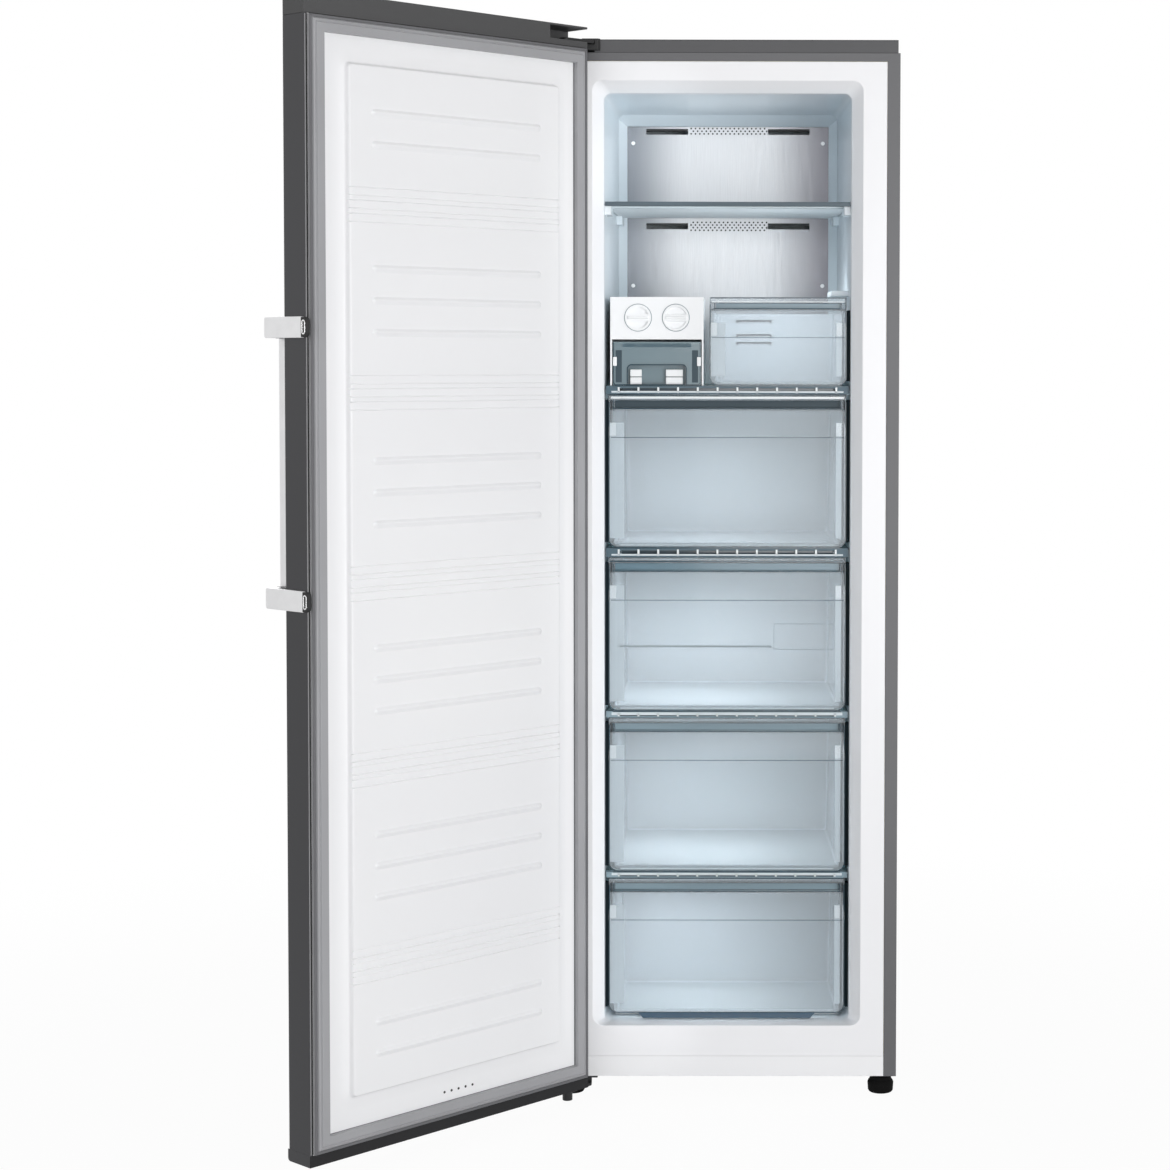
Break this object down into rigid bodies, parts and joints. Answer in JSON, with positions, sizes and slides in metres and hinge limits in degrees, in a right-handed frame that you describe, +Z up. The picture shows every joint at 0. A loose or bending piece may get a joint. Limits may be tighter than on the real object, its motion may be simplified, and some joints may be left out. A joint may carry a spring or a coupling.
{
  "type": "upright freezer",
  "caption": "Tall single-door frost-free freezer with clear drawers, a twist ice maker and glass shelves, shown with its door open.",
  "frame": {"origin": "on the floor, in the middle of the whole object with its door open as pictured", "axes": "X to the right seen from the front, Y from the front towards the back, Z up"},
  "size_m": [1.0214, 1.0698, 1.8545],
  "materials": {
    "side_steel": "satin",
    "door_steel": "satin",
    "cover_plastic": "satin",
    "liner_plastic": "satin",
    "clear_plastic": "gloss",
    "shelf_glass": "gloss",
    "white_plastic": "satin",
    "black_plastic": "matte",
    "brushed_panel": "satin",
    "handle_chrome": "polished",
    "coil_aluminium": "satin",
    "zinc_steel": "satin",
    "copper_pipe": "satin",
    "insulation_foam": "matte",
    "gasket_rubber": "matte"
  },
  "bodies": {
    "cabinet": {"outer_shell": "side_steel", "insulation_body": "insulation_foam", "inner_liner": "liner_plastic", "top_cover": "cover_plastic", "rear_panel": "zinc_steel", "kickplate": "white_plastic", "base_frame": "zinc_steel", "upper_hinge_bracket": "zinc_steel", "upper_hinge_cover": "black_plastic", "lower_hinge_bracket": "zinc_steel", "compressor": "door_steel", "drip_tray": "black_plastic", "discharge_pipe": "copper_pipe", "suction_pipe": "copper_pipe", "machine_room_cover": "zinc_steel", "mains_inlet": "black_plastic", "rear_duct_panel": "brushed_panel", "evaporator": "coil_aluminium", "fan_motor": "zinc_steel", "top_shelf_glass": "shelf_glass", "top_shelf_trim": "clear_plastic", "ice_maker_housing": "white_plastic", "shelf_low_glass": "shelf_glass", "shelf_low_rail": "clear_plastic", "shelf_mid_glass": "shelf_glass", "shelf_mid_rail": "clear_plastic", "shelf_high_glass": "shelf_glass", "shelf_high_rail": "clear_plastic", "ice_shelf_glass": "shelf_glass", "ice_shelf_rail": "clear_plastic"},
    "door": {"door_skin": "door_steel", "door_insulation": "insulation_foam", "door_liner": "liner_plastic", "door_gasket": "gasket_rubber", "door_top_cap": "cover_plastic", "door_bottom_cap": "cover_plastic", "handle_bar": "handle_chrome", "handle_bracket_upper": "handle_chrome", "handle_bracket_lower": "handle_chrome", "handle_spacer_upper": "black_plastic", "handle_spacer_lower": "black_plastic"},
    "drawer_1": {"drawer_1_front": "clear_plastic", "drawer_1_bin": "clear_plastic"},
    "drawer_2": {"drawer_2_front": "clear_plastic", "drawer_2_bin": "clear_plastic"},
    "drawer_3": {"drawer_3_front": "clear_plastic", "drawer_3_bin": "clear_plastic"},
    "drawer_4": {"drawer_4_front": "clear_plastic", "drawer_4_bin": "clear_plastic"},
    "small_bin": {"small_drawer": "clear_plastic"},
    "ice_store": {"ice_bin": "clear_plastic"},
    "ice_twister_left": {"ice_knob_left": "white_plastic", "ice_tray_left": "white_plastic"},
    "ice_twister_right": {"ice_knob_right": "white_plastic", "ice_tray_right": "white_plastic"},
    "fan": {"evaporator_fan": "white_plastic"},
    "foot_left": {"front_foot_left": "black_plastic"},
    "foot_right": {"front_foot_right": "black_plastic"},
    "roller_left": {"rear_roller_left": "black_plastic"},
    "roller_right": {"rear_roller_right": "black_plastic"}
  },
  "joints": [
    {"name": "door_hinge", "type": "hinge", "parent": "cabinet", "child": "door", "pos_m": [-0.06279, -0.08808, 0.9], "axis": [0, 0, -1], "range_deg": [-133.4, 1.6]},
    {"name": "drawer_1_slide", "type": "slide", "parent": "cabinet", "child": "drawer_1", "axis": [0, -1, 0], "range_m": [0, 0.32]},
    {"name": "drawer_2_slide", "type": "slide", "parent": "cabinet", "child": "drawer_2", "axis": [0, -1, 0], "range_m": [0, 0.32]},
    {"name": "drawer_3_slide", "type": "slide", "parent": "cabinet", "child": "drawer_3", "axis": [0, -1, 0], "range_m": [0, 0.32]},
    {"name": "drawer_4_slide", "type": "slide", "parent": "cabinet", "child": "drawer_4", "axis": [0, -1, 0], "range_m": [0, 0.2]},
    {"name": "small_drawer_slide", "type": "slide", "parent": "cabinet", "child": "small_bin", "axis": [0, -1, 0], "range_m": [0, 0.22]},
    {"name": "ice_bin_slide", "type": "slide", "parent": "cabinet", "child": "ice_store", "axis": [0, -1, 0], "range_m": [0, 0.22]},
    {"name": "ice_knob_left_turn", "type": "hinge", "parent": "cabinet", "child": "ice_twister_left", "pos_m": [0.05671, -0.01008, 1.3625], "axis": [0, 1, 0], "range_deg": [0, 140]},
    {"name": "ice_knob_right_turn", "type": "hinge", "parent": "cabinet", "child": "ice_twister_right", "pos_m": [0.12271, -0.01008, 1.3625], "axis": [0, 1, 0], "range_deg": [0, 140]},
    {"name": "fan_spin", "type": "hinge", "parent": "cabinet", "child": "fan", "pos_m": [0.21321, 0.40792, 1.06], "axis": [0, 1, 0], "continuous": true},
    {"name": "foot_left_screw", "type": "hinge", "parent": "cabinet", "child": "foot_left", "pos_m": [-0.05879, -0.02008, 0.01], "axis": [0, 0, 1], "continuous": true},
    {"name": "foot_right_screw", "type": "hinge", "parent": "cabinet", "child": "foot_right", "pos_m": [0.48521, -0.02008, 0.01], "axis": [0, 0, 1], "continuous": true},
    {"name": "roller_left_roll", "type": "hinge", "parent": "cabinet", "child": "roller_left", "pos_m": [-0.02679, 0.49692, 0.016], "axis": [1, 0, 0], "continuous": true},
    {"name": "roller_right_roll", "type": "hinge", "parent": "cabinet", "child": "roller_right", "pos_m": [0.45321, 0.49692, 0.016], "axis": [1, 0, 0], "continuous": true}
  ]
}
